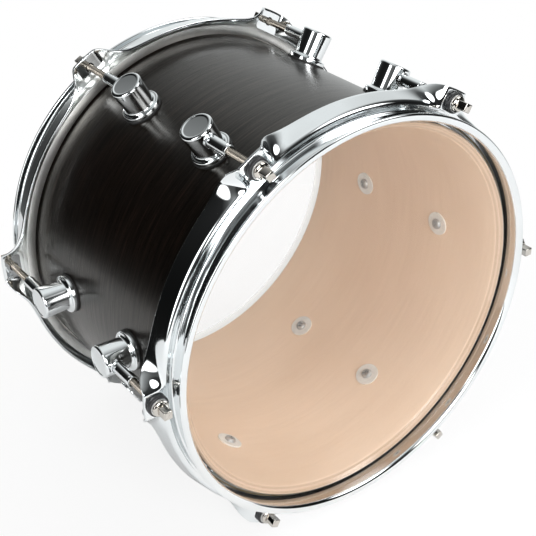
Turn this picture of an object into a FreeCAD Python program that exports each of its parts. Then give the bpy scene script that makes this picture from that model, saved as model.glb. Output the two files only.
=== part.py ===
import FreeCAD, Part
import math
import os

os.makedirs("parts", exist_ok=True)

V = FreeCAD.Vector

# Shell: 12 in drum, 9 in deep, laminated wood tube
SHELL_R = 151.0
SHELL_WALL = 6.5
SHELL_DEPTH = 228.6
SHELL_RI = SHELL_R - SHELL_WALL
EDGE_SET_IN = 1.85
EDGE_PEAK_R = SHELL_R - EDGE_SET_IN
EDGE_OUT_DROP = 2.85

# The rim stands this far over the bearing edge when the head is tuned
RIM_RISE = 11.3
HEIGHT = SHELL_DEPTH + 2 * RIM_RISE
HALF = HEIGHT / 2

# Lugs: six at each end, even spacing, in line from end to end
LUGS = 6
PITCH = 360.0 / LUGS
LUG_SET = 68.2
LUG_D = RIM_RISE + LUG_SET

# Clearances between pieces that touch or slide, and how far a drill runs past its hole
SEAT_GAP = 0.05
FILM_GAP = 0.55
THREAD_GAP = 0.08
HOLE_GAP = 0.2
EAR_HOLE_GAP = 0.9
HEAD_GAP = 1.2
SKIRT_GAP = 0.4
DRILL_OVER = 5.0

# Head channel: a rolled aluminium trough around the shell
CHANNEL_WIDTH = 7.4
CHANNEL_WALL = 1.0
CHANNEL_HEIGHT = 8.1
CHANNEL_RI = SHELL_R + HEAD_GAP
CHANNEL_RO = CHANNEL_RI + CHANNEL_WIDTH
RESIN_DROP = 0.7

# Counter hoop: pressed steel sheet, its shoulder on the channel and its skirt around it
SHEET = 2.3
WALL_SET_OUT = 1.0
WALL_RI = CHANNEL_RI + WALL_SET_OUT
WALL_RO = WALL_RI + SHEET
LIP_BEND = 1.3
LIP_LAND = 1.6
LIP_TRIM = 0.06
SHOULDER_FALL = 4.7
SHOULDER_D = RIM_RISE + SHOULDER_FALL
SHOULDER_UNDER_D = SHOULDER_D + SHEET
SHOULDER_BEND = 1.6
FOLD_R = CHANNEL_RO + SKIRT_GAP
FOLD_BEND = 1.3
FOLD_MAX = 80.0

# Rods stand this far outside the fold, on ears that run on past them
ROD_OUT = 8.4
ROD_CIRCLE = FOLD_R + ROD_OUT
EAR_MARGIN = 9.1
EAR_HALF = 9.0
EAR_SPAN = 26.5
FOLD_RUN = 7.6
FLANGE_EAR = ROD_OUT + EAR_MARGIN
FLANGE_SKIRT = 16.2

# Film: its collar runs from the bearing edge down into the channel
FILM_T = 0.3
FILM_FOOT_IN = 1.03
FILM_FOOT_UP = 1.05
CHANNEL_TOP_D = SHOULDER_UNDER_D + SEAT_GAP
CHANNEL_BOTTOM_D = CHANNEL_TOP_D + CHANNEL_HEIGHT
FILM_UNDER_D = RIM_RISE - SEAT_GAP
FILM_TOP_D = FILM_UNDER_D - FILM_T
FILM_END_D = CHANNEL_BOTTOM_D - CHANNEL_WALL - FILM_FOOT_UP
FILM_FOOT_R = CHANNEL_RO - CHANNEL_WALL - FILM_FOOT_IN
COLLAR_R0 = EDGE_PEAK_R + FILM_GAP
COLLAR_SLOPE = (FILM_FOOT_R - COLLAR_R0) / (FILM_END_D - FILM_UNDER_D)

# Tension rods, washers and cushions stacked on the ear
ROD_R = 2.7
ROD_POINT = 0.6
ROD_BITE = 18.0
EAR_HOLE_R = ROD_R + EAR_HOLE_GAP
CUSHION_R = 7.75
CUSHION_T = 3.4
WASHER_R = 6.4
WASHER_T = 1.0
COLLAR_R = 6.0
COLLAR_T = 2.2
COLLAR_EASE = 0.6
KEY_SQUARE = 6.35
KEY_TALL = 8.6
KEY_EASE = 0.7
CUSHION_SEAT_D = SHOULDER_D - SEAT_GAP
CUSHION_TOP_D = CUSHION_SEAT_D - CUSHION_T
WASHER_TOP_D = CUSHION_TOP_D - WASHER_T
COLLAR_UNDER_D = WASHER_TOP_D - SEAT_GAP
COLLAR_TOP_D = COLLAR_UNDER_D - COLLAR_T
HEAD_TOP_D = COLLAR_TOP_D - KEY_TALL

# Tube nut that reaches out of the lug to take the rod
NUT_WALL = 1.62
NUT_OUT = 34.0
NUT_BACK = 6.0
NUT_CHAMFER = 0.7
NUT_BORE_R = ROD_R + THREAD_GAP
NUT_R = NUT_BORE_R + NUT_WALL
NUT_END_D = LUG_D - NUT_OUT
ROD_END_D = NUT_END_D + ROD_BITE

# Lug post on its gasket, with a low boss around the nut
GASKET_T = 1.4
GASKET_OUT = 0.5
LUG_FOOT_R = SHELL_R + GASKET_T
LUG_POST_R = 11.3
LUG_FLANGE_OUT = 3.4
LUG_FLANGE_R = LUG_POST_R + LUG_FLANGE_OUT
LUG_FLANGE_T = 2.8
LUG_FLANGE_EASE = 0.9
GASKET_R = LUG_FLANGE_R + GASKET_OUT
CAP_FLARE = 0.9
CAP_OVER = 8.2
CAP_CHAMFER = 1.9
CAP_RIM = 0.4
CAP_DISH = 0.5
LUG_CAP_R = LUG_POST_R + CAP_FLARE
LUG_TOP = ROD_CIRCLE + CAP_OVER
LUG_DISH_R = LUG_CAP_R - CAP_CHAMFER - CAP_RIM
LUG_FILLET = 2.0
BOSS_WALL = 1.0
BOSS_REACH = 0.6
BOSS_R = NUT_R + BOSS_WALL
BOSS_OUT = LUG_CAP_R + BOSS_REACH

# Lug screw and its washer inside the shell, the washer's edge on the round wall
SCREW_R = 2.5
SCREW_HEAD_R = 4.6
SCREW_HEAD_T = 2.6
SCREW_FLAT_R = 2.2
SCREW_BITE = 8.6
SCREW_TIP = LUG_FOOT_R + SCREW_BITE
SLOT_WIDTH = 1.1
SLOT_LENGTH = 5.0
SLOT_DEEP = 1.4
INNER_WASHER_R = 10.0
INNER_WASHER_T = 1.2
INNER_WASHER_SEAT = math.sqrt(SHELL_RI**2 - INNER_WASHER_R**2)

# Vent through the wall at mid depth: eyelet flanged on the outside, ring inside
VENT_ANGLE = 210.0
VENT_BORE_R = 5.0
VENT_WALL = 1.0
VENT_TUBE_R = VENT_BORE_R + VENT_WALL
VENT_FLANGE_OUT = 5.0
VENT_FLANGE_R = VENT_TUBE_R + VENT_FLANGE_OUT
VENT_FLANGE_T = 1.3
VENT_RING_OUT = 4.0
VENT_RING_R = VENT_TUBE_R + VENT_RING_OUT
VENT_RING_T = 1.2
VENT_ROLL = 0.8
VENT_RING_SEAT = math.sqrt(SHELL_RI**2 - VENT_RING_R**2)


# Angle that a run along the rod circle takes, in degrees
def on_circle(run):
    return math.degrees(run / ROD_CIRCLE)


# Fold of the hoop flange, flat at an ear and turned down between ears
def fold_at(offset):
    run = max(0.0, abs(offset) - on_circle(EAR_HALF)) / on_circle(FOLD_RUN)
    return math.radians(FOLD_MAX) * (1.0 - math.exp(-run * run / (1.0 + run)))


def flange_length(offset):
    return FLANGE_SKIRT + (FLANGE_EAR - FLANGE_SKIRT) * math.exp(-((offset / on_circle(EAR_SPAN)) ** 2))


# Point on the folded flange, distance along it, on the top or the under side
def flange_point(offset, along, under):
    fold = fold_at(offset)
    bend_mid = FOLD_BEND + SHEET / 2
    side = FOLD_BEND if under else FOLD_BEND + SHEET
    turned = min(along / bend_mid, fold)
    straight = along - bend_mid * turned
    r = FOLD_R + side * math.sin(turned) + straight * math.cos(turned)
    d = SHOULDER_D + SHEET + FOLD_BEND - side * math.cos(turned) + straight * math.sin(turned)
    return r, d


# The drum lies on the skirts of its two hoops
LIFT = flange_point(PITCH / 2, flange_length(PITCH / 2), False)[0]


def at(r, d, angle=0.0):
    a = math.radians(angle)
    return V(r * math.cos(a), r * math.sin(a), HALF - d)


def face_of(points):
    return Part.Face(Part.makePolygon(points + [points[0]]))


def turned_solid(points):
    return face_of([at(r, d) for r, d in points]).revolve(V(0, 0, 0), V(0, 0, 1), 360)


def spin(shape, angle):
    copy = shape.copy()
    copy.rotate(V(0, 0, 0), V(0, 0, 1), angle)
    return copy


def other_end(shape):
    copy = shape.copy()
    copy.rotate(V(0, 0, 0), V(1, 0, 0), 180)
    return copy


def tube(r_out, r_in, d_top, d_bottom, centre_r):
    base = V(centre_r, 0, HALF - d_bottom)
    body = Part.makeCylinder(r_out, d_bottom - d_top, base)
    return body.cut(Part.makeCylinder(r_in, d_bottom - d_top, base))


def group(shape):
    return [spin(shape, PITCH * k) for k in range(LUGS)]


# Lay the drum on its side and write one node
def write(name, shapes):
    laid = []
    for shape in shapes:
        copy = shape.copy()
        copy.rotate(V(0, 0, 0), V(1, 0, 0), 90)
        copy.translate(V(0, 0, LIFT))
        laid.append(copy)
    node = laid[0] if len(laid) == 1 else Part.makeCompound(laid)
    node.exportStep("parts/" + name + ".step")


# One radial section of the hoop, offset in degrees from an ear, before its lip is trimmed flat
def hoop_section(offset, angle):
    def p(r, d):
        return at(r, d, angle)

    def line(a, b):
        return Part.makeLine(p(*a), p(*b))

    def arc(a, centre, radius, direction, b):
        m = math.radians(direction)
        mid = (centre[0] + radius * math.cos(m), centre[1] + radius * math.sin(m))
        return Part.Arc(p(*a), p(*mid), p(*b)).toShape()

    lip_out = LIP_BEND + SHEET
    lip_c = (WALL_RI + lip_out, lip_out - LIP_TRIM)
    land = lip_c[0] + LIP_LAND
    lip_mid = SHEET / 2 - LIP_TRIM
    lip_under = SHEET - LIP_TRIM
    bend_c = (WALL_RO + SHOULDER_BEND, SHOULDER_D - SHOULDER_BEND)
    under_bend = SHOULDER_BEND + SHEET
    length = flange_length(offset)
    steps = [0.0, 0.05, 0.1, 0.15, 0.2, 0.3, 0.5, 0.75, 1.0]
    back = [1.0 - s for s in reversed(steps)]
    top = [flange_point(offset, length * s, False) for s in steps]
    under = [flange_point(offset, length * s, True) for s in reversed(steps)]
    top_curve = Part.BSplineCurve()
    top_curve.interpolate(Points=[p(*q) for q in top], Parameters=steps)
    under_curve = Part.BSplineCurve()
    under_curve.interpolate(Points=[p(*q) for q in under], Parameters=back)
    edges = [
        line((WALL_RI, bend_c[1]), (WALL_RI, lip_c[1])),
        arc((WALL_RI, lip_c[1]), lip_c, lip_out, 225, (lip_c[0], -LIP_TRIM)),
        line((lip_c[0], -LIP_TRIM), (land, -LIP_TRIM)),
        arc((land, -LIP_TRIM), (land, lip_mid), SHEET / 2, 0, (land, lip_under)),
        line((land, lip_under), (lip_c[0], lip_under)),
        arc((lip_c[0], lip_under), lip_c, LIP_BEND, 225, (WALL_RO, lip_c[1])),
        line((WALL_RO, lip_c[1]), (WALL_RO, bend_c[1])),
        arc((WALL_RO, bend_c[1]), bend_c, SHOULDER_BEND, 135, (bend_c[0], SHOULDER_D)),
        line((bend_c[0], SHOULDER_D), (FOLD_R, SHOULDER_D)),
        top_curve.toShape(),
        line(top[-1], under[0]),
        under_curve.toShape(),
        line((FOLD_R, SHOULDER_UNDER_D), (bend_c[0], SHOULDER_UNDER_D)),
        arc((bend_c[0], SHOULDER_UNDER_D), bend_c, under_bend, 135, (WALL_RI, bend_c[1])),
    ]
    return Part.Wire(edges)


# A flat end of a sector, which its neighbour closes
def is_end(face):
    angles = [math.atan2(v.Point.y, v.Point.x) for v in face.Vertexes]
    return max(angles) - min(angles) < 1e-6


# Counter hoop: one sector with its ear and rod hole, repeated and joined to a ring
def make_hoop():
    ear = on_circle(EAR_HALF)
    flat = [ear * k / 4 for k in range(1, 5)]
    folded = [0.02, 0.05, 0.08, 0.12, 0.16, 0.21, 0.28, 0.37, 0.48, 0.61, 0.75, 0.88, 1.0]
    spread = flat + [ear + (PITCH / 2 - ear) * k for k in folded]
    offsets = [-h for h in reversed(spread)] + [0.0] + spread
    sector = Part.makeLoft([hoop_section(a, a) for a in offsets], True, False)
    hole_base = V(ROD_CIRCLE, 0, HALF - SHOULDER_UNDER_D - DRILL_OVER)
    sector = sector.cut(Part.makeCylinder(EAR_HOLE_R, SHEET + 2 * DRILL_OVER, hole_base))
    above = Part.makeCylinder(ROD_CIRCLE, DRILL_OVER, V(0, 0, HALF))
    sector = sector.cut(above)
    sides = [face for face in sector.Faces if not is_end(face)]
    faces = [spin(face, PITCH * k) for k in range(LUGS) for face in sides]
    ring = Part.makeCompound(faces)
    ring.sewShape()
    return Part.makeSolid(ring.Shells[0])


# Film with its formed collar, running into the channel
def film_under_r(d):
    return COLLAR_R0 + COLLAR_SLOPE * (d - FILM_UNDER_D)


def make_film():
    lean = math.hypot(1.0, COLLAR_SLOPE)
    out = FILM_T * lean
    corner = COLLAR_R0 + out - COLLAR_SLOPE * FILM_T
    return turned_solid(
        [
            (0.0, FILM_TOP_D),
            (corner, FILM_TOP_D),
            (film_under_r(FILM_END_D) + out, FILM_END_D),
            (film_under_r(FILM_END_D), FILM_END_D),
            (COLLAR_R0, FILM_UNDER_D),
            (0.0, FILM_UNDER_D),
        ]
    )


def make_channel():
    return turned_solid(
        [
            (CHANNEL_RI, CHANNEL_TOP_D),
            (CHANNEL_RI, CHANNEL_BOTTOM_D),
            (CHANNEL_RO, CHANNEL_BOTTOM_D),
            (CHANNEL_RO, CHANNEL_TOP_D),
            (CHANNEL_RO - CHANNEL_WALL, CHANNEL_TOP_D),
            (CHANNEL_RO - CHANNEL_WALL, CHANNEL_BOTTOM_D - CHANNEL_WALL),
            (CHANNEL_RI + CHANNEL_WALL, CHANNEL_BOTTOM_D - CHANNEL_WALL),
            (CHANNEL_RI + CHANNEL_WALL, CHANNEL_TOP_D),
        ]
    )


def make_resin(film):
    ring = turned_solid(
        [
            (CHANNEL_RI + CHANNEL_WALL, CHANNEL_TOP_D + RESIN_DROP),
            (CHANNEL_RI + CHANNEL_WALL, CHANNEL_BOTTOM_D - CHANNEL_WALL),
            (CHANNEL_RO - CHANNEL_WALL, CHANNEL_BOTTOM_D - CHANNEL_WALL),
            (CHANNEL_RO - CHANNEL_WALL, CHANNEL_TOP_D + RESIN_DROP),
        ]
    )
    return ring.cut(film)


# Shell with a bearing edge at each end, lug holes and the vent hole
def make_shell():
    cut_depth = EDGE_PEAK_R - SHELL_RI
    low = HEIGHT - RIM_RISE
    shell = turned_solid(
        [
            (SHELL_RI, RIM_RISE + cut_depth),
            (EDGE_PEAK_R, RIM_RISE),
            (SHELL_R, RIM_RISE + EDGE_OUT_DROP),
            (SHELL_R, low - EDGE_OUT_DROP),
            (EDGE_PEAK_R, low),
            (SHELL_RI, low - cut_depth),
        ]
    )
    holes = []
    lug_hole = radial(SCREW_R + HOLE_GAP, SHELL_RI - DRILL_OVER, SHELL_R + DRILL_OVER, LUG_D)
    for hole in group(lug_hole):
        holes.append(hole)
        holes.append(other_end(hole))
    vent = radial(VENT_TUBE_R, SHELL_RI - DRILL_OVER, SHELL_R + DRILL_OVER, HALF)
    holes.append(spin(vent, VENT_ANGLE))
    return shell.cut(Part.makeCompound(holes))


# Round bar that points away from the drum axis
def radial(radius, start, end, d):
    return Part.makeCylinder(radius, end - start, V(start, 0, HALF - d), V(1, 0, 0))


def radial_turned(points, d):
    profile = face_of([V(x, r, HALF - d) for x, r in points])
    return profile.revolve(V(0, 0, HALF - d), V(1, 0, 0), 360)


def drum_core(radius):
    return Part.makeCylinder(radius, HEIGHT, V(0, 0, -HALF))


def make_post():
    flange_top = LUG_FOOT_R + LUG_FLANGE_T
    foot_start = LUG_FOOT_R - LUG_FLANGE_T
    points = [(foot_start, 0.0), (foot_start, LUG_FLANGE_R)]
    for a in (math.radians(45.0 * k) for k in range(3)):
        x = flange_top - LUG_FLANGE_EASE * (1.0 - math.sin(a))
        points.append((x, LUG_FLANGE_R - LUG_FLANGE_EASE * (1.0 - math.cos(a))))
    for a in (math.radians(18.0 * k) for k in range(6)):
        x = flange_top + LUG_FILLET * (1.0 - math.cos(a))
        points.append((x, LUG_POST_R + LUG_FILLET * (1.0 - math.sin(a))))
    points += [
        (LUG_TOP - CAP_CHAMFER, LUG_CAP_R),
        (LUG_TOP, LUG_CAP_R - CAP_CHAMFER),
        (LUG_TOP, LUG_DISH_R),
        (LUG_TOP - CAP_DISH, LUG_DISH_R - CAP_DISH),
        (LUG_TOP - CAP_DISH, 0.0),
    ]
    post = radial_turned(points, LUG_D)
    boss = Part.makeCylinder(BOSS_R, BOSS_OUT, V(ROD_CIRCLE, 0, HALF - LUG_D))
    nut_length = LUG_D - NUT_END_D + NUT_BACK
    nut_base = V(ROD_CIRCLE, 0, HALF - LUG_D - NUT_BACK)
    bore = Part.makeCylinder(NUT_R + SEAT_GAP, nut_length, nut_base)
    screw_hole = radial(SCREW_R + SEAT_GAP, LUG_FOOT_R - DRILL_OVER, SCREW_TIP + HOLE_GAP, LUG_D)
    return post.fuse(boss).cut(drum_core(LUG_FOOT_R)).cut(bore).cut(screw_hole)


def make_gasket():
    pad = radial(GASKET_R, SHELL_R - DRILL_OVER, LUG_FOOT_R + GASKET_T, LUG_D)
    pad = pad.cut(radial(SCREW_R + HOLE_GAP, SHELL_R - DRILL_OVER, LUG_FOOT_R + DRILL_OVER, LUG_D))
    return pad.common(drum_core(LUG_FOOT_R)).cut(drum_core(SHELL_R))


def make_nut():
    length = LUG_D - NUT_END_D + NUT_BACK
    base = V(ROD_CIRCLE, 0, HALF - LUG_D - NUT_BACK)
    body = Part.makeCylinder(NUT_R, length, base)
    cone_base = base + V(0, 0, length - 2 * NUT_CHAMFER)
    cone = Part.makeCone(NUT_R + NUT_CHAMFER, NUT_R - NUT_CHAMFER, 2 * NUT_CHAMFER, cone_base)
    keep = Part.makeCylinder(NUT_R + NUT_CHAMFER, length - NUT_CHAMFER, base)
    body = body.common(keep.fuse(cone))
    return body.cut(Part.makeCylinder(NUT_BORE_R, length, base))


# Screw with a rounded head and a cross slot
def make_screw():
    under = INNER_WASHER_SEAT - INNER_WASHER_T
    points = [(under, 0.0)]
    for a in (math.radians(22.5 * k) for k in range(5)):
        r = SCREW_FLAT_R + (SCREW_HEAD_R - SCREW_FLAT_R) * math.cos(a)
        points.append((under - SCREW_HEAD_T * math.sin(a), r))
    points.append((under - SCREW_HEAD_T, 0.0))
    screw = radial_turned(points, LUG_D).fuse(radial(SCREW_R, under, SCREW_TIP, LUG_D))
    slot_base = V(under - SCREW_HEAD_T - DRILL_OVER, -SLOT_WIDTH / 2, HALF - LUG_D - SLOT_LENGTH / 2)
    for turn in (45, 135):
        slot = Part.makeBox(SLOT_DEEP + DRILL_OVER, SLOT_WIDTH, SLOT_LENGTH, slot_base)
        slot.rotate(V(0, 0, HALF - LUG_D), V(1, 0, 0), turn)
        screw = screw.cut(slot)
    return screw


def make_inner_washer():
    low = INNER_WASHER_SEAT - INNER_WASHER_T
    disc = radial(INNER_WASHER_R, low, INNER_WASHER_SEAT, LUG_D)
    return disc.cut(radial(SCREW_R + HOLE_GAP, low - DRILL_OVER, INNER_WASHER_SEAT + DRILL_OVER, LUG_D))


def make_rod():
    points = [
        (0.0, COLLAR_TOP_D),
        (COLLAR_R - COLLAR_EASE, COLLAR_TOP_D),
        (COLLAR_R, COLLAR_TOP_D + COLLAR_EASE),
        (COLLAR_R, COLLAR_UNDER_D),
        (ROD_R, COLLAR_UNDER_D),
        (ROD_R, ROD_END_D - ROD_POINT),
        (ROD_R - ROD_POINT, ROD_END_D),
        (0.0, ROD_END_D),
    ]
    body = turned_solid(points)
    body.translate(V(ROD_CIRCLE, 0, 0))
    side = KEY_SQUARE / 2
    corner = V(ROD_CIRCLE - side, -side, HALF - COLLAR_TOP_D)
    square = Part.makeBox(KEY_SQUARE, KEY_SQUARE, KEY_TALL, corner)
    top = [e for e in square.Edges if e.BoundBox.ZMin > HALF - HEAD_TOP_D - 0.01]
    return body.fuse(square.makeChamfer(KEY_EASE, top))


def make_eyelet():
    inner_end = VENT_RING_SEAT - VENT_RING_T - VENT_ROLL
    outer_end = SHELL_R + VENT_FLANGE_T
    barrel = radial(VENT_TUBE_R, inner_end, outer_end, HALF)
    flange = radial(VENT_FLANGE_R, SHELL_R - DRILL_OVER, outer_end, HALF)
    body = barrel.fuse(flange.cut(drum_core(SHELL_R)))
    bore = radial(VENT_BORE_R, inner_end - DRILL_OVER, outer_end + DRILL_OVER, HALF)
    return spin(body.cut(bore), VENT_ANGLE)


def make_vent_ring():
    low = VENT_RING_SEAT - VENT_RING_T
    disc = radial(VENT_RING_R, low, VENT_RING_SEAT, HALF)
    hole = radial(VENT_TUBE_R, low - DRILL_OVER, VENT_RING_SEAT + DRILL_OVER, HALF)
    return spin(disc.cut(hole), VENT_ANGLE)


hoop = make_hoop()
film = make_film()
channel = make_channel()
resin = make_resin(film)
post = make_post()
gasket = make_gasket()
nut = make_nut()
screw = make_screw()
inner_washer = make_inner_washer()
rod = make_rod()
cushion = tube(CUSHION_R, ROD_R + HOLE_GAP, CUSHION_TOP_D, CUSHION_SEAT_D, ROD_CIRCLE)
rod_washer = tube(WASHER_R, ROD_R + HOLE_GAP, WASHER_TOP_D, CUSHION_TOP_D, ROD_CIRCLE)

write("shell", [make_shell()])
write("vent_eyelet", [make_eyelet()])
write("vent_ring", [make_vent_ring()])

# Both ends are the same, the resonant end turned over
for end, place in (("batter", lambda s: s.copy()), ("resonant", other_end)):
    write(end + "_hoop", [place(hoop)])
    write(end + "_film", [place(film)])
    write(end + "_channel", [place(channel)])
    write(end + "_resin", [place(resin)])
    write(end + "_rod_cushions", [place(s) for s in group(cushion)])
    write(end + "_rod_washers", [place(s) for s in group(rod_washer)])
    write(end + "_tube_nuts", [place(s) for s in group(nut)])
    write(end + "_lug_gaskets", [place(s) for s in group(gasket)])
    write(end + "_lug_screws", [place(s) for s in group(screw)])
    write(end + "_lug_washers", [place(s) for s in group(inner_washer)])
    for number, shape in enumerate(group(post), 1):
        write(end + "_lug_" + str(number), [place(shape)])
    for number, shape in enumerate(group(rod), 1):
        write(end + "_rod_" + str(number), [place(shape)])
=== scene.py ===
import math
import bmesh
import bpy
from mathutils import Matrix, Vector


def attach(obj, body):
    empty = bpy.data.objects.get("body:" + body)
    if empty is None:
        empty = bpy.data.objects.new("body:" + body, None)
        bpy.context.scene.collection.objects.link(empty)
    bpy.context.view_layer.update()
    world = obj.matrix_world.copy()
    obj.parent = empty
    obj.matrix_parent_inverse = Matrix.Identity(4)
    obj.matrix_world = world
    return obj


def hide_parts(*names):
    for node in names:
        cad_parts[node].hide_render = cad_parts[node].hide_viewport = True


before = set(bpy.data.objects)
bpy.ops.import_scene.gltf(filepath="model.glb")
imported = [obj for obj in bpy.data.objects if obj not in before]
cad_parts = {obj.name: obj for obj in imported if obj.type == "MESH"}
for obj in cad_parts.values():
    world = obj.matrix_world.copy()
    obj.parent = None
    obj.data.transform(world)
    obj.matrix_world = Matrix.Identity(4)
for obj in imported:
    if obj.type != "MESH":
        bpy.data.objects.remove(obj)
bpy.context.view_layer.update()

# Sizes in millimetres, drum axis along Z and batter end up; a depth D counts from the batter rim
SHELL_R = 151.0
SHELL_RI = 144.5
SHELL_DEPTH = 228.6
SHELL_ROWS = (40.0, 80.0)
EDGE_PEAK_R = 149.15
EDGE_OUT_DROP = 2.85
EDGE_ROUND = 0.5
WALL_SKIN = 0.35
RIM_RISE = 11.3
HALF = SHELL_DEPTH / 2 + RIM_RISE
LUGS = 6
PITCH = 360.0 / LUGS
ROD_CIRCLE = 168.4

# Counter hoop, pressed from one sheet
SHEET = 2.3
WALL_RI = 153.2
WALL_RO = WALL_RI + SHEET
LIP_BEND = 1.3
LIP_LAND = 1.6
SHOULDER_D = 16.0
SHOULDER_BEND = 1.6
FOLD_R = 160.0
FOLD_BEND = 1.3
FOLD_MAX = 80.0
FOLD_RUN = 7.6
FLANGE_EAR = 17.5
FLANGE_SKIRT = 16.2
FLANGE_NOSE = 0.45
FLANGE_RUNS = [0.5 * k for k in range(9)] + [4.7 + 0.75 * k for k in range(11)] + [13.7, 15.2]
EAR_HALF = 9.0
EAR_SPAN = 26.5
EAR_CROWD = 0.4
EAR_HOLE_R = 3.6

# Head: film with its collar, and the channel ring
FILM_TOP_D = 10.95
FILM_T = 0.3
FILM_RINGS = (40.0, 80.0, 120.0)
FILM_BEND = 2.6
FILM_COLLAR_R = 149.7
FILM_FOOT_R = 157.57
FILM_END_D = 24.4
FILM_FALL = FILM_END_D - FILM_TOP_D - FILM_T
FILM_SLOPE = (FILM_FOOT_R - FILM_COLLAR_R) / FILM_FALL
CHANNEL_RO = 159.6
CHANNEL_RI = 152.2
CHANNEL_WALL = 1.0
CHANNEL_TOP_D = 18.35
CHANNEL_LOW_D = 26.45
CHANNEL_ROUND = 0.3

# Tension rod with its washer and cushion
ROD_R = 2.7
ROD_ROOM = 0.2
ROD_END_D = 63.5
ROD_TIP_LENGTH = 1.2
ROD_TIP_CUT = 0.6
THREAD_PITCH = 25.4 / 24
THREAD_DEPTH = 0.35
THREAD_ROWS = 6
THREAD_NECK = 3.0
THREAD_FADE = 1.5
THREAD_END_SHARE = 0.35
THREAD_FLANK = 2.4
THREAD_FLAT = 0.1
COLLAR_R = 6.0
COLLAR_CHAMFER = 0.7
COLLAR_TOP_R = 5.3
COLLAR_TOP_D = 9.3
COLLAR_UNDER_D = 11.5
COLLAR_DOME_R = 4.2
COLLAR_DOME = 0.45
COLLAR_ROUND = 0.25
WASHER_R = 6.4
WASHER_TOP_D = 11.55
WASHER_ROUND = 0.2
CUSHION_R = 7.75
CUSHION_TOP_D = 12.55
CUSHION_SEAT_D = 15.95
CUSHION_ROUND = 0.6
HEAD_TOP_D = 0.7
KEY_SQUARE = 6.35
KEY_SIDE_ROUND = 0.55
KEY_TOP_ROUND = 0.7

# Lug post and tube nut
LUG_D = 79.5
LUG_FOOT_R = 152.4
LUG_TOP = 176.6
POST_R = 11.3
POST_FILLET = 2.0
FOOT_R = 14.7
FOOT_T = 2.8
FOOT_ROUND = 1.0
CAP_R = 12.2
CAP_ROUND = 1.9
DISH_R = 9.9
DISH_ROUND = 0.15
DISH_SLOPE = ((0.5, 0.45), (1.2, 0.5))
DISH_DEPTH = 0.52
NUT_R = 4.4
NUT_BORE_R = 2.78
NUT_TAIL = 6.0
NUT_END_D = 45.5
NUT_GROOVE = 0.2
NUT_GROOVE_BACK = (2.6, 2.4, 2.1, 1.9)
BOSS_R = 5.4
BOSS_IN = 8.0
BOSS_OUT = 12.8
BOSS_GAP = 0.05
END_ROUND = 0.4

# Holes through the shell wall, and the vent
SCREW_HOLE_R = 2.7
DRILL_START = 135.0
DRILL_STOP = 160.0
VENT_ANGLE = 210.0
VENT_BORE_R = 5.0
VENT_TUBE_R = 6.0
VENT_FLANGE_R = 11.0
VENT_SINK = 0.6
VENT_ROLL = (10.3, 0.4)
VENT_ROLL_R = 0.75
VENT_CREST = (6.6, 1.3)
VENT_MOUTH = (6.2, 0.1)
VENT_MOUTH_R = 1.2
VENT_INNER_END = 142.2

# Steps around each turned shape
HOOP_STEPS = 432
SHELL_STEPS = 288
HEAD_STEPS = 240
POST_STEPS = 96
VENT_STEPS = 72
SMALL_STEPS = 48
HOLE_STEPS = 32
THREAD_STEPS = 18

SMOOTH_ANGLE = math.radians(40.0)
ENDS = ("batter", "resonant")
FAR_END = Matrix.Rotation(math.pi, 4, "X")


# Hoop flange: flat at each ear, turned down between the ears
def on_circle(run):
    return math.degrees(run / ROD_CIRCLE)


def fold_at(offset):
    run = max(0.0, abs(offset) - on_circle(EAR_HALF)) / on_circle(FOLD_RUN)
    return math.radians(FOLD_MAX) * (1.0 - math.exp(-run * run / (1.0 + run)))


def flange_length(offset):
    near_ear = math.exp(-((offset / on_circle(EAR_SPAN)) ** 2))
    return FLANGE_SKIRT + (FLANGE_EAR - FLANGE_SKIRT) * near_ear


def flange_place(offset, along, depth):
    side = FOLD_BEND + SHEET - depth
    bend_mid = FOLD_BEND + SHEET / 2
    bent = min(along / bend_mid, fold_at(offset))
    straight = along - bend_mid * bent
    r = FOLD_R + side * math.sin(bent) + straight * math.cos(bent)
    d = SHOULDER_D + SHEET + FOLD_BEND - side * math.cos(bent) + straight * math.sin(bent)
    return r, d


# The drum lies on the skirts of its hoops, in metres
LIFT = flange_place(PITCH / 2, flange_length(PITCH / 2), 0.0)[0]
AXIS_Z = LIFT / 1000
ON_SIDE = Matrix.Rotation(math.pi / 2, 4, "X")
TO_METRES = Matrix.Scale(0.001, 4)
LAY = Matrix.Translation((0, 0, AXIS_Z)) @ ON_SIDE @ TO_METRES


# Mesh helpers
def chain(bm, points, closed):
    verts = [bm.verts.new(p) for p in points]
    pairs = list(zip(verts, verts[1:])) + ([(verts[-1], verts[0])] if closed else [])
    return verts + [bm.edges.new(pair) for pair in pairs]


def spin_round(bm, geom, steps):
    bmesh.ops.spin(
        bm, geom=geom, cent=(0, 0, 0), axis=(0, 0, 1), angle=2 * math.pi, steps=steps, use_merge=True
    )
    bmesh.ops.remove_doubles(bm, verts=bm.verts, dist=1e-5)


def lathe(profile, steps, closed=True):
    bm = bmesh.new()
    spin_round(bm, chain(bm, [(r, 0, z) for r, z in profile], closed), steps)
    bmesh.ops.recalc_face_normals(bm, faces=bm.faces)
    return bm


# Turns a profile of radius and depth below the batter rim
def lathe_from_rim(profile, steps, closed=True):
    return lathe([(r, HALF - d) for r, d in profile], steps, closed)


def round_edges(bm, edges, width, segments, clamp=False):
    bmesh.ops.bevel(
        bm,
        geom=edges,
        offset=width,
        segments=segments,
        profile=0.5,
        affect="EDGES",
        material=-1,
        clamp_overlap=clamp,
    )


# Rounds the edges where two faces meet at more than 30 degrees
def ease(bm, width, segments=2, keep=None):
    least = math.radians(30.0)
    sharp = [e for e in bm.edges if len(e.link_faces) == 2 and e.calc_face_angle() > least]
    sharp = [e for e in sharp if keep is None or keep(e)]
    round_edges(bm, sharp, width, segments, clamp=True)


def ease_end(bm, stop):
    ease(bm, END_ROUND, 3, keep=lambda e: min(v.co.z for v in e.verts) > stop - 0.01)


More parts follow.
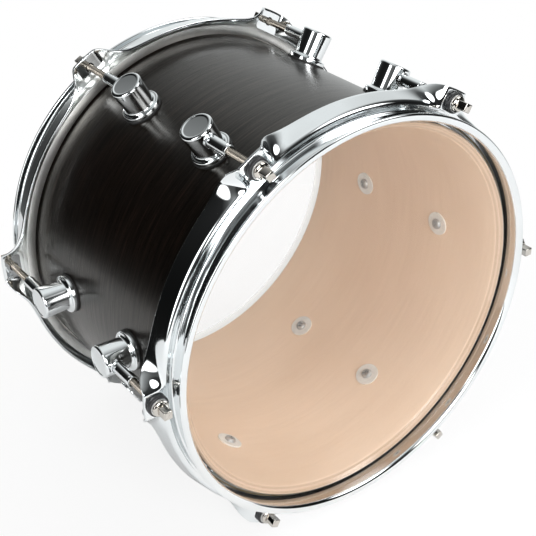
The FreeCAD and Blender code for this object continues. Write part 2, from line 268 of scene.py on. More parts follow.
def arc(centre, radius, start, stop, steps):
    angles = [math.radians(start + (stop - start) * k / steps) for k in range(steps + 1)]
    return [(centre[0] + radius * math.cos(a), centre[1] + radius * math.sin(a)) for a in angles]


def moved(bm, matrix):
    copy = bm.copy()
    copy.transform(matrix)
    return copy


def around(k):
    return Matrix.Rotation(math.radians(PITCH * k), 4, "Z")


def to_rod_circle(bm):
    bm.transform(Matrix.Translation((ROD_CIRCLE, 0, 0)))
    return bm


def joined(parts):
    whole = bmesh.new()
    for part in parts:
        mesh = bpy.data.meshes.new("join")
        part.to_mesh(mesh)
        whole.from_mesh(mesh)
        bpy.data.meshes.remove(mesh)
        part.free()
    return whole


def all_round(bm):
    return joined([moved(bm, around(k)) for k in range(LUGS)])


def add_object(name, data):
    obj = bpy.data.objects.new(name, data)
    bpy.context.scene.collection.objects.link(obj)
    return obj


# Lays a mesh where the drum lies and makes it the piece that stands for a CAD node
def piece(name, bm, body, materials, cad_node, far=False):
    bm.transform(LAY @ FAR_END if far else LAY)
    mesh = bpy.data.meshes.new(name)
    bm.to_mesh(mesh)
    bm.free()
    mesh.shade_smooth()
    mesh.set_sharp_from_angle(angle=SMOOTH_ANGLE)
    for material in materials:
        mesh.materials.append(material)
    obj = add_object(name, mesh)
    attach(obj, body)
    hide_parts(cad_node)
    return obj


# Material helpers
def new_material(name):
    material = bpy.data.materials.new(name)
    material.use_nodes = True
    tree = material.node_tree
    return material, tree, tree.nodes["Principled BSDF"]


def node(tree, kind, **values):
    made = tree.nodes.new(kind)
    for key, value in values.items():
        if hasattr(made, key):
            setattr(made, key, value)
        else:
            made.inputs[key].default_value = value
    return made


# Links a socket to an input, or sets the input to a plain value
def feed(tree, target, value):
    if isinstance(value, bpy.types.NodeSocket):
        tree.links.new(value, target)
    else:
        target.default_value = value


def calc(tree, operation, *values):
    made = node(tree, "ShaderNodeMath", operation=operation)
    for target, value in zip(made.inputs, values):
        feed(tree, target, value)
    return made.outputs["Value"]


def distance(tree, spot, middle):
    made = node(tree, "ShaderNodeVectorMath", operation="DISTANCE")
    made.inputs[1].default_value = middle
    tree.links.new(spot, made.inputs[0])
    return made.outputs["Value"]


def placed(tree, scale=(1, 1, 1), location=(0, 0, 0)):
    coords = node(tree, "ShaderNodeTexCoord")
    mapping = node(tree, "ShaderNodeMapping", Scale=scale, Location=location)
    tree.links.new(coords.outputs["Object"], mapping.inputs["Vector"])
    return mapping.outputs["Vector"]


def noise(tree, vector, scale, detail=4.0, rough=0.55):
    made = node(tree, "ShaderNodeTexNoise", Scale=scale, Detail=detail, Roughness=rough)
    tree.links.new(vector, made.inputs["Vector"])
    return made.outputs["Fac"]


def ramp(tree, source, stops):
    made = node(tree, "ShaderNodeValToRGB")
    elements = made.color_ramp.elements
    while len(elements) < len(stops):
        elements.new(0.5)
    for element, (place, colour) in zip(elements, stops):
        element.position = place
        element.color = (*colour, 1.0)
    tree.links.new(source, made.inputs["Fac"])
    return made.outputs["Color"]


def spread(tree, source, low, high):
    made = node(tree, "ShaderNodeMapRange")
    made.inputs["To Min"].default_value = low
    made.inputs["To Max"].default_value = high
    tree.links.new(source, made.inputs["Value"])
    return made.outputs["Result"]


# Goes softly from one level to another between two limits
def fade(tree, source, start, stop, low, high):
    made = node(tree, "ShaderNodeMapRange", interpolation_type="SMOOTHSTEP")
    for name, value in (("From Min", start), ("From Max", stop), ("To Min", low), ("To Max", high)):
        made.inputs[name].default_value = value
    tree.links.new(source, made.inputs["Value"])
    return made.outputs["Result"]


def multiplied(tree, first, second, share=1.0):
    made = node(tree, "ShaderNodeMix", data_type="RGBA", blend_type="MULTIPLY")
    made.inputs["Factor"].default_value = share
    feed(tree, made.inputs["A"], first)
    feed(tree, made.inputs["B"], second)
    return made.outputs["Result"]


def mix_shaders(tree, share, first, second):
    made = node(tree, "ShaderNodeMixShader")
    feed(tree, made.inputs["Fac"], share)
    tree.links.new(first, made.inputs[1])
    tree.links.new(second, made.inputs[2])
    return made.outputs["Shader"]


def bump(tree, shader, height, strength, depth):
    made = node(tree, "ShaderNodeBump", Strength=strength, Distance=depth)
    tree.links.new(height, made.inputs["Height"])
    tree.links.new(made.outputs["Normal"], shader.inputs["Normal"])


# Radius from the drum axis, place along it and angle around it
def drum_coords(tree):
    coords = node(tree, "ShaderNodeTexCoord")
    split = node(tree, "ShaderNodeSeparateXYZ")
    tree.links.new(coords.outputs["Object"], split.inputs["Vector"])
    across, along = split.outputs["X"], split.outputs["Y"]
    height = calc(tree, "SUBTRACT", split.outputs["Z"], AXIS_Z)
    flat = node(tree, "ShaderNodeCombineXYZ")
    tree.links.new(across, flat.inputs["X"])
    tree.links.new(height, flat.inputs["Z"])
    radius = node(tree, "ShaderNodeVectorMath", operation="LENGTH")
    tree.links.new(flat.outputs["Vector"], radius.inputs[0])
    return radius.outputs["Value"], along, calc(tree, "ARCTAN2", height, across)


# Metal with cloudy tint and smeared gloss
def metal(name, light, dark, rough, scale, grain=(1, 1, 1), part=1.0):
    material, tree, shader = new_material(name)
    shader.inputs["Metallic"].default_value = part
    vector = placed(tree, grain)
    tint = noise(tree, vector, scale, detail=5.0)
    tree.links.new(ramp(tree, tint, [(0.3, dark), (0.7, light)]), shader.inputs["Base Color"])
    smear = noise(tree, vector, scale * 2.3, detail=6.0, rough=0.65)
    tree.links.new(spread(tree, smear, *rough), shader.inputs["Roughness"])
    return material


# Finishes; limits on a radius or depth are in metres
CHROME_LIGHT = (0.825, 0.85, 0.86)
CHROME_DARK = (0.76, 0.785, 0.795)
STREAK_STRETCH = {"X": 700.0, "Y": 700.0, "Z": 2.5}
STREAK_RADIUS = ((0.1540, 0.1550, 0.0, 1.0), (0.1605, 0.1640, 1.0, 0.1))
STREAK_DEPTH = ((0.1078, 0.1090, 0.0, 1.0), (0.1112, 0.1128, 1.0, 0.15))
CLOUDY_FROM = 0.1405
CLOUDY_TO = 0.1425


# Hoop chrome, with fine drawn lines around the shoulder of the pressing
def make_pressed_chrome():
    material = metal("pressed_chrome", CHROME_LIGHT, CHROME_DARK, (0.03, 0.07), 22.0)
    tree = material.node_tree
    radius, along, angle = drum_coords(tree)
    vector = node(tree, "ShaderNodeCombineXYZ")
    for source, (target, scale) in zip((radius, along, angle), STREAK_STRETCH.items()):
        tree.links.new(calc(tree, "MULTIPLY", source, scale), vector.inputs[target])
    lines = noise(tree, vector.outputs["Vector"], 1.0, detail=2.0, rough=0.5)
    depth = calc(tree, "ABSOLUTE", along)
    for source, zones in ((radius, STREAK_RADIUS), (depth, STREAK_DEPTH)):
        for zone in zones:
            lines = calc(tree, "MULTIPLY", lines, fade(tree, source, *zone))
    bump(tree, tree.nodes["Principled BSDF"], lines, 0.9, 0.00018)
    return material


def make_lacquer():
    material, tree, shader = new_material("ebony_lacquer")
    grain = noise(tree, placed(tree, (9, 260, 9)), 3.0, detail=7.0, rough=0.6)
    pores = noise(tree, placed(tree, (40, 900, 40)), 3.0, detail=4.0, rough=0.5)
    shades = [
        (0.3, (0.0006, 0.0005, 0.0005)),
        (0.55, (0.004, 0.0022, 0.0014)),
        (0.75, (0.018, 0.009, 0.006)),
    ]
    tree.links.new(ramp(tree, grain, shades), shader.inputs["Base Color"])
    tree.links.new(spread(tree, pores, 0.24, 0.34), shader.inputs["Roughness"])
    tree.links.new(spread(tree, grain, 0.05, 0.85), shader.inputs["Specular IOR Level"])
    shader.inputs["Specular Tint"].default_value = (1.0, 0.95, 0.86, 1.0)
    shader.inputs["Coat Weight"].default_value = 0.15
    shader.inputs["Coat Roughness"].default_value = 0.16
    bump(tree, shader, pores, 0.02, 0.0002)
    return material


def make_bare_wood():
    material, tree, shader = new_material("bare_maple")
    grain = noise(tree, placed(tree, (5, 120, 5)), 3.0, detail=7.0, rough=0.6)
    cloud = noise(tree, placed(tree, (7, 12, 7)), 1.4, detail=3.0, rough=0.5)
    light = ramp(tree, cloud, [(0.3, (0.80, 0.60, 0.43)), (0.7, (0.86, 0.66, 0.49))])
    dark = ramp(tree, grain, [(0.3, (0.86, 0.82, 0.78)), (0.62, (1.0, 1.0, 1.0))])
    tree.links.new(multiplied(tree, light, dark, 0.35), shader.inputs["Base Color"])
    tree.links.new(spread(tree, grain, 0.5, 0.66), shader.inputs["Roughness"])
    bump(tree, shader, grain, 0.05, 0.0003)
    return material


# Rings of ply on the cut bearing edge
def make_ply_edge():
    material, tree, shader = new_material("ply_edge")
    bands = node(tree, "ShaderNodeTexWave", wave_type="RINGS", rings_direction="Y")
    for name, value in (("Scale", 140.0), ("Distortion", 0.4), ("Detail", 2.0)):
        bands.inputs[name].default_value = value
    tree.links.new(placed(tree, location=(0, 0, -AXIS_Z)), bands.inputs["Vector"])
    shades = [(0.35, (0.56, 0.39, 0.265)), (0.65, (0.66, 0.475, 0.335))]
    tree.links.new(ramp(tree, bands.outputs["Fac"], shades), shader.inputs["Base Color"])
    shader.inputs["Roughness"].default_value = 0.5
    return material


def make_black(name, colour, rough, scale):
    material, tree, shader = new_material(name)
    speck = noise(tree, placed(tree), scale, detail=5.0, rough=0.6)
    paler = tuple(2.2 * c for c in colour)
    tree.links.new(ramp(tree, speck, [(0.3, colour), (0.75, paler)]), shader.inputs["Base Color"])
    tree.links.new(spread(tree, speck, rough - 0.08, rough + 0.1), shader.inputs["Roughness"])
    bump(tree, shader, speck, 0.15, 0.0002)
    return material


# Clear film that shines at a slant, with an outer edge as cloudy as given
def make_film(name, cloudy):
    material, tree, haze = new_material(name)
    ripple = noise(tree, placed(tree), 9.0, detail=3.0)
    haze.inputs["Base Color"].default_value = (0.92, 0.92, 0.92, 1.0)
    tree.links.new(spread(tree, ripple, 0.2, 0.3), haze.inputs["Roughness"])
    shine = node(tree, "ShaderNodeBsdfGlossy")
    tree.links.new(spread(tree, ripple, 0.05, 0.12), shine.inputs["Roughness"])
    skin = mix_shaders(tree, 0.6, haze.outputs["BSDF"], shine.outputs["BSDF"])
    slant = node(tree, "ShaderNodeLayerWeight", Blend=0.5)
    steep = calc(tree, "POWER", slant.outputs["Facing"], 4.0)
    clear = node(tree, "ShaderNodeBsdfTransparent", Color=(0.998, 0.998, 0.998, 1.0))
    sheet = mix_shaders(tree, spread(tree, steep, 0.03, 0.6), clear.outputs["BSDF"], skin)
    milky = node(tree, "ShaderNodeBsdfTranslucent", Color=(0.99, 0.98, 0.96, 1.0))
    edge = fade(tree, drum_coords(tree)[0], CLOUDY_FROM, CLOUDY_TO, 0.0, cloudy)
    whole = mix_shaders(tree, edge, sheet, milky.outputs["BSDF"])
    tree.links.new(whole, tree.nodes["Material Output"].inputs["Surface"])
    return material


def make_resin():
    material, tree, shader = new_material("cast_resin")
    cloud = noise(tree, placed(tree), 60.0, detail=4.0)
    shades = [(0.3, (0.5, 0.36, 0.15)), (0.7, (0.66, 0.5, 0.24))]
    tree.links.new(ramp(tree, cloud, shades), shader.inputs["Base Color"])
    tree.links.new(spread(tree, cloud, 0.2, 0.4), shader.inputs["Roughness"])
    return material


lacquer = make_lacquer()
bare_wood = make_bare_wood()
ply_edge = make_ply_edge()
chrome = metal("bright_chrome", CHROME_LIGHT, CHROME_DARK, (0.035, 0.075), 22.0)
hoop_chrome = make_pressed_chrome()
rod_plate = metal("rod_plating", (0.42, 0.38, 0.33), (0.31, 0.275, 0.235), (0.16, 0.28), 160.0)
head_plate = metal("rod_head_nickel", (0.64, 0.61, 0.57), (0.52, 0.49, 0.45), (0.05, 0.11), 120.0)
zinc = metal("zinc_plate", (0.74, 0.74, 0.73), (0.60, 0.60, 0.60), (0.3, 0.45), 90.0)
pale_plate = metal("washer_plate", (0.88, 0.87, 0.83), (0.80, 0.79, 0.75), (0.45, 0.6), 90.0, part=0.3)
screw_steel = metal("screw_steel", (0.50, 0.50, 0.49), (0.38, 0.38, 0.38), (0.4, 0.55), 120.0, part=0.7)
aluminium = metal(
    "rolled_aluminium", (0.86, 0.86, 0.84), (0.76, 0.76, 0.73), (0.3, 0.42), 3.0, grain=(30, 500, 30)
)
nylon = make_black("black_nylon", (0.012, 0.012, 0.013), 0.42, 260.0)
rubber = make_black("black_gasket", (0.010, 0.010, 0.010), 0.6, 300.0)
films = {"batter": make_film("clear_film", 0.0), "resonant": make_film("thin_clear_film", 0.9)}
resin = make_resin()


# Counter hoop: a flat pressing first, then its flange folded and its ears pierced
def hoop_profile():
    lip_out = LIP_BEND + SHEET
    lip = (WALL_RI + lip_out, lip_out)
    land = lip[0] + LIP_LAND
    bend = (WALL_RO + SHOULDER_BEND, SHOULDER_D - SHOULDER_BEND)
    low, nose, tip = SHOULDER_D + SHEET, FLANGE_NOSE, FOLD_R + FLANGE_EAR
    points = arc(lip, lip_out, 180, 270, 10)
    points += arc((land, SHEET / 2), SHEET / 2, -90, 90, 8)
    points += arc(lip, LIP_BEND, 270, 180, 6)
    points += arc(bend, SHOULDER_BEND, 180, 90, 6)
    points += [(FOLD_R + run, SHOULDER_D) for run in FLANGE_RUNS]
    points += arc((tip - nose, SHOULDER_D + nose), nose, -90, 0, 3)
    points += arc((tip - nose, low - nose), nose, 0, 90, 3)
    points += [(FOLD_R + run, low) for run in reversed(FLANGE_RUNS)]
    points += arc(bend, SHOULDER_BEND + SHEET, 90, 180, 8)
    return points


def fold_flange(bm):
    for v in bm.verts:
        r = math.hypot(v.co.x, v.co.y)
        d = HALF - v.co.z
        angle = math.degrees(math.atan2(v.co.y, v.co.x))
        ear = round(angle / PITCH) * PITCH
        share = (angle - ear) / (PITCH / 2)
        offset = PITCH / 2 * (EAR_CROWD * share + (1 - EAR_CROWD) * share**3)
        if r > FOLD_R + 1e-6:
            along = (r - FOLD_R) * flange_length(offset) / FLANGE_EAR
            r, d = flange_place(offset, along, d - SHOULDER_D)
        a = math.radians(ear + offset)
        v.co = (r * math.cos(a), r * math.sin(a), HALF - d)


def pierce_ear(bm, k):
    hole = around(k) @ Vector((ROD_CIRCLE, 0, HALF - SHOULDER_D - SHEET / 2))

    def flat(co):
        return Vector((co.x - hole.x, co.y - hole.y))

    near = [f for f in bm.faces if abs(f.calc_center_median().z - hole.z) < 2]
    inside = [f for f in near if flat(f.calc_center_median()).length < EAR_HOLE_R]
    rim = {v for f in inside for v in f.verts}
    bmesh.ops.delete(bm, geom=inside, context="FACES")
    for v in rim:
        if v.is_valid:
            spot = flat(v.co).normalized() * EAR_HOLE_R
            v.co = (hole.x + spot.x, hole.y + spot.y, v.co.z)
    bmesh.ops.bridge_loops(bm, edges=[e for e in bm.edges if e.is_boundary])


def make_hoop():
    bm = lathe_from_rim(hoop_profile(), HOOP_STEPS)
    fold_flange(bm)
    for k in range(LUGS):
        pierce_ear(bm, k)
    bmesh.ops.recalc_face_normals(bm, faces=bm.faces)
    return bm


# Head film with its collar, and the channel ring that holds its foot
def make_film_mesh():
    lean = math.hypot(1.0, FILM_SLOPE)
    turn = math.degrees(math.atan2(FILM_SLOPE, 1.0))
    low = FILM_TOP_D + FILM_T
    set_in = FILM_BEND * math.tan(math.radians((90 - turn) / 2))
    centre = (FILM_COLLAR_R - set_in, low + FILM_BEND)
    end_r = FILM_COLLAR_R + FILM_SLOPE * FILM_FALL
    points = [(r, FILM_TOP_D) for r in (0.0, *FILM_RINGS)]
    points += arc(centre, FILM_BEND + FILM_T, -90, -turn, 8)
    points += [(end_r + FILM_T * lean, FILM_END_D), (end_r, FILM_END_D)]
    points += arc(centre, FILM_BEND, -turn, -90, 8)
    points += [(r, low) for r in (*reversed(FILM_RINGS), 0.0)]
    return lathe_from_rim(points, HEAD_STEPS, closed=False)


def make_channel_mesh():
    top, low, floor = CHANNEL_TOP_D, CHANNEL_LOW_D, CHANNEL_LOW_D - CHANNEL_WALL
    out, inn = CHANNEL_RO - CHANNEL_WALL, CHANNEL_RI + CHANNEL_WALL
    points = [(CHANNEL_RI, top), (CHANNEL_RI, low), (CHANNEL_RO, low), (CHANNEL_RO, top)]
    points += [(out, top), (out, floor), (inn, floor), (inn, top)]
    bm = lathe_from_rim(points, HEAD_STEPS)
    ease(bm, CHANNEL_ROUND)
    return bm


# Shell: lacquer outside, bare wood inside, plies on the bearing edges
def make_shell_mesh():
    deep = 2 * HALF
    low = deep - RIM_RISE
    cut = EDGE_PEAK_R - SHELL_RI
    rows = [*SHELL_ROWS, HALF, *(deep - row for row in reversed(SHELL_ROWS))]
    inner = [RIM_RISE + cut, *rows, low - cut]
    outer = [RIM_RISE + EDGE_OUT_DROP, *rows, low - EDGE_OUT_DROP]
    points = [(SHELL_RI, d) for d in inner] + [(EDGE_PEAK_R, low)]
    points += [(SHELL_R, d) for d in reversed(outer)] + [(EDGE_PEAK_R, RIM_RISE)]
    bm = lathe_from_rim(points, SHELL_STEPS)
    ease(bm, EDGE_ROUND)
    for face in bm.faces:
        centre = face.calc_center_median()
        r = math.hypot(centre.x, centre.y)
        if r > SHELL_R - WALL_SKIN:
            face.material_index = 0
        elif r < SHELL_RI + WALL_SKIN:
            face.material_index = 1
        else:
            face.material_index = 2
    return bm


# Cuts holes into a piece, with the piece's third finish inside them
def drill(obj, cutter_bm):
    cutter_bm.transform(LAY)
    mesh = bpy.data.meshes.new("drill")
    cutter_bm.to_mesh(mesh)
    cutter_bm.free()
    for material in obj.data.materials:
        mesh.materials.append(material)
    for polygon in mesh.polygons:
        polygon.material_index = 2
    tool = add_object("drill", mesh)
    cut = obj.modifiers.new("holes", "BOOLEAN")
    cut.operation = "DIFFERENCE"
    cut.solver = "EXACT"
    cut.object = tool
    bpy.context.view_layer.update()
    depsgraph = bpy.context.evaluated_depsgraph_get()
    result = bpy.data.meshes.new_from_object(obj.evaluated_get(depsgraph))
    obj.modifiers.remove(cut)
    old = obj.data
    obj.data = result
    result.name = obj.name
    bpy.data.meshes.remove(old)
    bpy.data.objects.remove(tool)
    bpy.data.meshes.remove(mesh)
    result.set_sharp_from_angle(angle=SMOOTH_ANGLE)


# A turned shape that stands out from the drum axis, heights counted from that axis
def stand_out(bm, depth):
    return moved(bm, Matrix.Translation((0, 0, HALF - depth)) @ Matrix.Rotation(math.pi / 2, 4, "Y"))


def set_vent(bm):
    return moved(stand_out(bm, HALF), Matrix.Rotation(math.radians(VENT_ANGLE), 4, "Z"))


def drill_bar(radius, steps):
    points = [(0, DRILL_START), (radius, DRILL_START), (radius, DRILL_STOP), (0, DRILL_STOP)]
    return lathe(points, steps, closed=False)


def make_drills():
    holes = []
    for k in range(LUGS):
        for end in (Matrix.Identity(4), FAR_END):
            holes.append(moved(stand_out(drill_bar(SCREW_HOLE_R, HOLE_STEPS), LUG_D), end @ around(k)))
    holes.append(set_vent(drill_bar(VENT_TUBE_R, SMALL_STEPS)))
    return joined(holes)


# Lug post with its base flange, dished cap and the low boss that lets the nut out
def make_post():
    foot, top, shelf = LUG_FOOT_R, LUG_TOP, LUG_FOOT_R + FOOT_T
    corner = (0, 0)
    profile = [(0, foot), (FOOT_R, foot), (FOOT_R, shelf)]
    for r, h in arc(corner, POST_FILLET, 270, 180, 8):
        profile.append((POST_R + POST_FILLET + r, shelf + POST_FILLET + h))
    profile += [(CAP_R, top), (DISH_R, top)]
    profile += [(DISH_R - inset, top - fall) for inset, fall in DISH_SLOPE]
    profile.append((0, top - DISH_DEPTH))
    bm = lathe(profile, POST_STEPS, closed=False)

    def on_ring(v, r, h):
        return abs(math.hypot(v.co.x, v.co.y) - r) < 0.01 and abs(v.co.z - h) < 0.01

    def ring(r, h):
        near = [v for v in bm.verts if on_ring(v, r, h)]
        return [e for e in bm.edges if e.verts[0] in near and e.verts[1] in near]

    rounds = [
        (ring(CAP_R, top), CAP_ROUND, 6),
        (ring(FOOT_R, shelf), FOOT_ROUND, 4),
        (ring(DISH_R, top), DISH_ROUND, 2),
    ]
    for edges, width, segments in rounds:
        round_edges(bm, edges, width, segments)
    for v in bm.verts:
        if v.co.z < foot + 0.05:
            v.co.z = math.sqrt(foot**2 - v.co.y**2)
    bmesh.ops.recalc_face_normals(bm, faces=bm.faces)
    post = stand_out(bm, LUG_D)
    bm.free()
    start, stop = HALF - LUG_D + BOSS_IN, HALF - LUG_D + BOSS_OUT
    bore = NUT_R + BOSS_GAP
    boss = lathe([(bore, start), (BOSS_R, start), (BOSS_R, stop), (bore, stop)], SMALL_STEPS)
    ease_end(boss, stop)
    return joined([post, to_rod_circle(boss)])


# Tube nut with a fine groove near its open end
def make_nut():
    start, stop = HALF - LUG_D - NUT_TAIL, HALF - NUT_END_D
    neck = NUT_R - NUT_GROOVE
    points = [(NUT_BORE_R, start), (NUT_R, start)]
    points += [(r, stop - back) for r, back in zip((NUT_R, neck, neck, NUT_R), NUT_GROOVE_BACK)]
    points += [(NUT_R, stop), (NUT_BORE_R, stop)]
    bm = lathe(points, SMALL_STEPS)
    ease_end(bm, stop)
    return to_rod_circle(bm)


# Cushion or washer around a rod
def make_rod_ring(radius, top, low, rounding):
    bore = ROD_R + ROD_ROOM
    bm = lathe_from_rim([(bore, top), (radius, top), (radius, low), (bore, low)], SMALL_STEPS)
    ease(bm, rounding, 3)
    return to_rod_circle(bm)


# Tension rod: threaded shank, collar, square key head
def make_shank():
    top, low = HALF - COLLAR_UNDER_D, HALF - ROD_END_D
    bm = bmesh.new()
    ends = chain(bm, [(ROD_R, 0, top), (ROD_R, 0, low)], False)
    rows = int((top - low) / (THREAD_PITCH / THREAD_ROWS))
    bmesh.ops.subdivide_edges(bm, edges=[ends[-1]], cuts=rows)
    column = sorted(bm.verts, key=lambda v: -v.co.z)
    centre_top, centre_low = bm.verts.new((0, 0, top)), bm.verts.new((0, 0, low))
    bm.edges.new((centre_top, column[0]))
    bm.edges.new((column[-1], centre_low))
    spin_round(bm, list(bm.verts) + list(bm.edges), THREAD_STEPS)
    for v in bm.verts:
        r = math.hypot(v.co.x, v.co.y)
        if r < 0.1:
            continue
        rise = v.co.z - low
        begun = min(1.0, max(0.0, (top - THREAD_NECK - v.co.z) / THREAD_FADE))
        ended = min(1.0, THREAD_END_SHARE + max(0.0, rise / THREAD_FADE))
        turn = math.atan2(v.co.y, v.co.x) / (2 * math.pi)
        phase = (v.co.z / THREAD_PITCH - turn) % 1.0
        groove = min(1.0, max(0.0, THREAD_FLANK * abs(phase - 0.5) - THREAD_FLAT))
        taper = ROD_TIP_CUT * max(0.0, 1.0 - rise / ROD_TIP_LENGTH)
        scale = (ROD_R - THREAD_DEPTH * (begun * ended) * groove - taper) / r
        v.co.x *= scale
        v.co.y *= scale
    bmesh.ops.recalc_face_normals(bm, faces=bm.faces)
    return bm


def make_rod_collar():
    seat, crown = HALF - COLLAR_UNDER_D, HALF - COLLAR_TOP_D
    dome = crown + COLLAR_DOME
    points = [(0, seat), (COLLAR_R, seat), (COLLAR_R, crown - COLLAR_CHAMFER), (COLLAR_TOP_R, crown)]
    points += [(COLLAR_DOME_R, dome), (0, dome)]
    bm = lathe(points, SMALL_STEPS, closed=False)
    ease(bm, COLLAR_ROUND)
    return bm


def make_key_head():
    crown, tall = HALF - COLLAR_TOP_D, COLLAR_TOP_D - HEAD_TOP_D
    bm = bmesh.new()
    bmesh.ops.create_cube(bm, size=1.0)
    bmesh.ops.scale(bm, verts=bm.verts, vec=(KEY_SQUARE, KEY_SQUARE, tall))
    bmesh.ops.translate(bm, verts=bm.verts, vec=(0, 0, crown + tall / 2))
    upright = [e for e in bm.edges if abs(e.verts[0].co.z - e.verts[1].co.z) > 1]
    round_edges(bm, upright, KEY_SIDE_ROUND, 3)
    crest = [e for e in bm.edges if min(e.verts[0].co.z, e.verts[1].co.z) > crown + tall - 0.01]
    round_edges(bm, crest, KEY_TOP_ROUND, 3)
    return bm


def make_rod():
    collar, key = make_rod_collar(), make_key_head()
    for face in [*collar.faces, *key.faces]:
        face.material_index = 1
    return to_rod_circle(joined([make_shank(), collar, key]))


# Vent eyelet with a rolled flange
def make_eyelet():
    inner, under = VENT_INNER_END, SHELL_R - VENT_SINK
    roll, crest, mouth = [(r, SHELL_R + rise) for r, rise in (VENT_ROLL, VENT_CREST, VENT_MOUTH)]
    points = [(VENT_BORE_R, inner), (VENT_TUBE_R, inner), (VENT_TUBE_R, under), (VENT_FLANGE_R, under)]
    points += arc(roll, VENT_ROLL_R, 0, 90, 5) + [crest] + arc(mouth, VENT_MOUTH_R, 90, 180, 6)
    return lathe(points, VENT_STEPS)


# Shell and vent
shell_finish = [lacquer, bare_wood, ply_edge]
shell = piece("drum_shell", make_shell_mesh(), "shell", shell_finish, "shell")
drill(shell, make_drills())
piece("vent_eyelet_flange", set_vent(make_eyelet()), "shell", [chrome], "vent_eyelet")

# Both ends from one set of shapes
hoop = make_hoop()
film = make_film_mesh()
channel = make_channel_mesh()
post = make_post()
nut = make_nut()
rod = make_rod()
cushion = make_rod_ring(CUSHION_R, CUSHION_TOP_D, CUSHION_SEAT_D, CUSHION_ROUND)
washer = make_rod_ring(WASHER_R, WASHER_TOP_D, CUSHION_TOP_D, WASHER_ROUND)

for end in ENDS:
    far = end == "resonant"
    hoop_body, head_body = end + "_hoop", end + "_head"
    for name, bm, body, material, slot, cad_node in (
        ("_counter_hoop", hoop.copy(), hoop_body, hoop_chrome, "chrome", "_hoop"),
        ("_head_film", film.copy(), head_body, films[end], "clear_film", "_film"),
        ("_head_channel", channel.copy(), head_body, aluminium, "aluminium", "_channel"),
        ("_nut_set", all_round(nut), "shell", chrome, "chrome", "_tube_nuts"),
        ("_cushion_set", all_round(cushion), hoop_body, nylon, "black_nylon", "_rod_cushions"),
        ("_washer_set", all_round(washer), hoop_body, zinc, "zinc_steel", "_rod_washers"),
    ):
        piece(end + name, bm, body, [material], end + cad_node, far=far)
    for k in range(LUGS):
        number = str(k + 1)
        lug, turning = end + "_lug_" + number, end + "_rod_" + number
        lug_name, rod_name = end + "_lug_post_" + number, end + "_tension_rod_" + number
        piece(lug_name, moved(post, around(k)), "shell", [chrome], lug, far=far)
        plating = [rod_plate, head_plate]
        piece(rod_name, moved(rod, around(k)), turning, plating, turning, far=far)

for bm in (hoop, film, channel, post, nut, rod, cushion, washer):
    bm.free()


# CAD nodes that stay, with a finish of their own
def refinish(cad_node, material):
    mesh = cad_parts[cad_node].data
    mesh.materials.clear()
    mesh.materials.append(material)


for end in ENDS:
    refinish(end + "_resin", resin)
    refinish(end + "_lug_gaskets", rubber)
    refinish(end + "_lug_screws", screw_steel)
    refinish(end + "_lug_washers", pale_plate)
refinish("vent_ring", zinc)


# Floor, light and camera, in metres; a fade is start, stop, first and last level
FLOOR_MIDDLE = (-0.15, -0.35, 0.0)
FLOOR_R = 1.1
FLOOR_SEEN = (0.45, 0.82, 0.86, 1.0)
FLOOR_MIRRORED = (0.18, 0.5, 0.0, 0.3)
LAMP_MIDDLE = (0.5, 0.5, 0.0)
LAMP_EDGE = (0.2, 0.5, 1.0, 0.0)
LAMPS = (
    ("key_softbox", (1.1, -1.05, 1.7), (0, 0, 0.15), (1.58, 1.58), 47.5),
    ("fill_softbox", (-0.45, -1.85, 1.1), (0, -0.1, 0.12), (1.58, 1.58), 82.5),
    ("side_strip", (-1.7, -0.4, 0.85), (0, 0, 0.6), (0.95, 2.2), 33.8),
)
DOME_TINT = (0.93, 0.96, 0.96, 1.0)
DARK_CORNER = (
    (0.0, 1.0), (0.13, 0.92), (0.3, 0.7), (0.47, 0.33), (0.63, 0.1), (0.74, 0.025), (1.0, 0.006)
)
DARK_FRONT = ((0.0, 1.0), (0.2, 0.8), (0.45, 0.3), (0.65, 0.05), (1.0, 0.02))
DARK_RIGHT = ((0.0, 1.0), (0.68, 1.0), (0.8, 0.6), (0.9, 0.1), (1.0, 0.03))
DARK_ZONES = ((150, 5, DARK_CORNER), (-85, 0, DARK_FRONT), (-12, 28, DARK_RIGHT))
CAMERA_LENS = 73.08
CAMERA_PLACE = (-0.4340, -0.6071, AXIS_Z + 0.4474)
CAMERA_FORWARD = (0.4965, 0.6917, -0.5245)
CAMERA_DOWN = (-0.320, -0.416, -0.851)


# White floor that keeps the shadow, and glows less in metal than to the eye
def make_floor():
    bm = bmesh.new()
    bmesh.ops.create_circle(bm, cap_ends=True, segments=96, radius=FLOOR_R)
    bmesh.ops.translate(bm, verts=bm.verts, vec=FLOOR_MIDDLE)
    mesh = bpy.data.meshes.new("studio_floor")
    bm.to_mesh(mesh)
    bm.free()
    floor = add_object("studio_floor", mesh)
    material, tree, shader = new_material("floor_white")
    tree.nodes.remove(shader)
    matt = node(tree, "ShaderNodeBsdfDiffuse", Color=(0.95, 0.95, 0.95, 1.0))
    glow = node(tree, "ShaderNodeEmission", Color=(1.0, 1.0, 1.0, 1.0), Strength=1.0)
    path = node(tree, "ShaderNodeLightPath")
    spot = node(tree, "ShaderNodeTexCoord").outputs["Object"]
    seen = fade(tree, distance(tree, spot, FLOOR_MIDDLE), *FLOOR_SEEN)
    mirrored = fade(tree, distance(tree, spot, (0, 0, 0)), *FLOOR_MIRRORED)
    share = 0.0
    for ray, part in (("Camera", seen), ("Glossy", mirrored), ("Transmission", seen)):
        glowing = calc(tree, "MULTIPLY", path.outputs[f"Is {ray} Ray"], part)
        share = calc(tree, "MAXIMUM", share, glowing)
    surface = mix_shaders(tree, share, matt.outputs["BSDF"], glow.outputs["Emission"])
    tree.links.new(surface, tree.nodes["Material Output"].inputs["Surface"])
    mesh.materials.append(material)


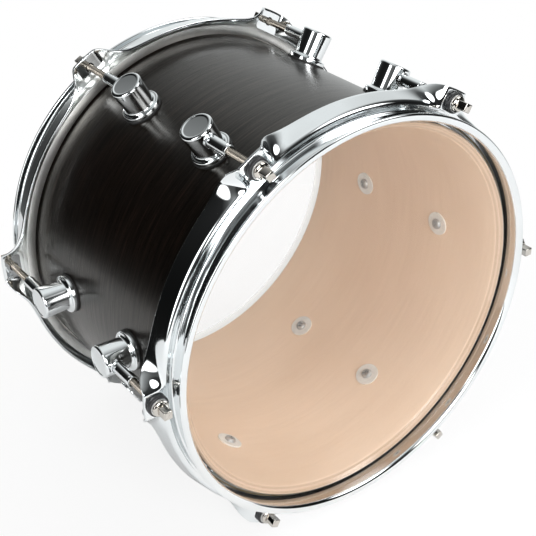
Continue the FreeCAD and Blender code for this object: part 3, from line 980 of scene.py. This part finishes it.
# Softbox that fades towards its edges
def make_lamp(name, place, target, size, power):
    data = bpy.data.lights.new(name, "AREA")
    data.shape = "RECTANGLE"
    data.size, data.size_y = size
    data.energy = power
    data.use_nodes = True
    tree = data.node_tree
    spot = node(tree, "ShaderNodeNewGeometry").outputs["Parametric"]
    glow = fade(tree, distance(tree, spot, LAMP_MIDDLE), *LAMP_EDGE)
    tree.links.new(glow, tree.nodes["Emission"].inputs["Strength"])
    lamp = add_object(name, data)
    lamp.location = place
    lamp.rotation_euler = (Vector(target) - Vector(place)).to_track_quat("-Z", "Y").to_euler()


# Studio dome: bright above and at the back right, dark at the back left, low in front and on the right
def make_world():
    world = bpy.data.worlds.new("studio")
    bpy.context.scene.world = world
    world.use_nodes = True
    tree = world.node_tree
    coords = node(tree, "ShaderNodeTexCoord")
    shade = DOME_TINT
    for turn, rise, levels in DARK_ZONES:
        a, b = math.radians(turn), math.radians(rise)
        facing = node(tree, "ShaderNodeVectorMath", operation="DOT_PRODUCT")
        level = math.cos(b)
        facing.inputs[1].default_value = (math.cos(a) * level, math.sin(a) * level, math.sin(b))
        tree.links.new(coords.outputs["Generated"], facing.inputs[0])
        greys = [(place, (grey, grey, grey)) for place, grey in levels]
        shade = multiplied(tree, shade, ramp(tree, facing.outputs["Value"], greys))
    path = node(tree, "ShaderNodeLightPath")
    straight = calc(tree, "MAXIMUM", path.outputs["Is Camera Ray"], path.outputs["Is Transmission Ray"])
    seen = node(tree, "ShaderNodeMix", data_type="RGBA")
    tree.links.new(straight, seen.inputs["Factor"])
    tree.links.new(shade, seen.inputs["A"])
    seen.inputs["B"].default_value = (1.0, 1.0, 1.0, 1.0)
    back = tree.nodes["Background"]
    tree.links.new(seen.outputs["Result"], back.inputs["Color"])
    back.inputs["Strength"].default_value = 1.0


def make_camera():
    data = bpy.data.cameras.new("photo_camera")
    data.sensor_width = 36.0
    data.lens = CAMERA_LENS
    data.clip_end = 50.0
    camera = add_object("photo_camera", data)
    forward = Vector(CAMERA_FORWARD).normalized()
    right = Vector(CAMERA_DOWN).cross(forward).normalized()
    up = right.cross(forward).normalized()
    turned = Matrix((right, up, -forward)).transposed().to_4x4()
    camera.matrix_world = Matrix.Translation(CAMERA_PLACE) @ turned
    bpy.context.scene.camera = camera


make_floor()
make_world()
for lamp in LAMPS:
    make_lamp(*lamp)
make_camera()
bpy.context.scene.view_settings.view_transform = "Standard"
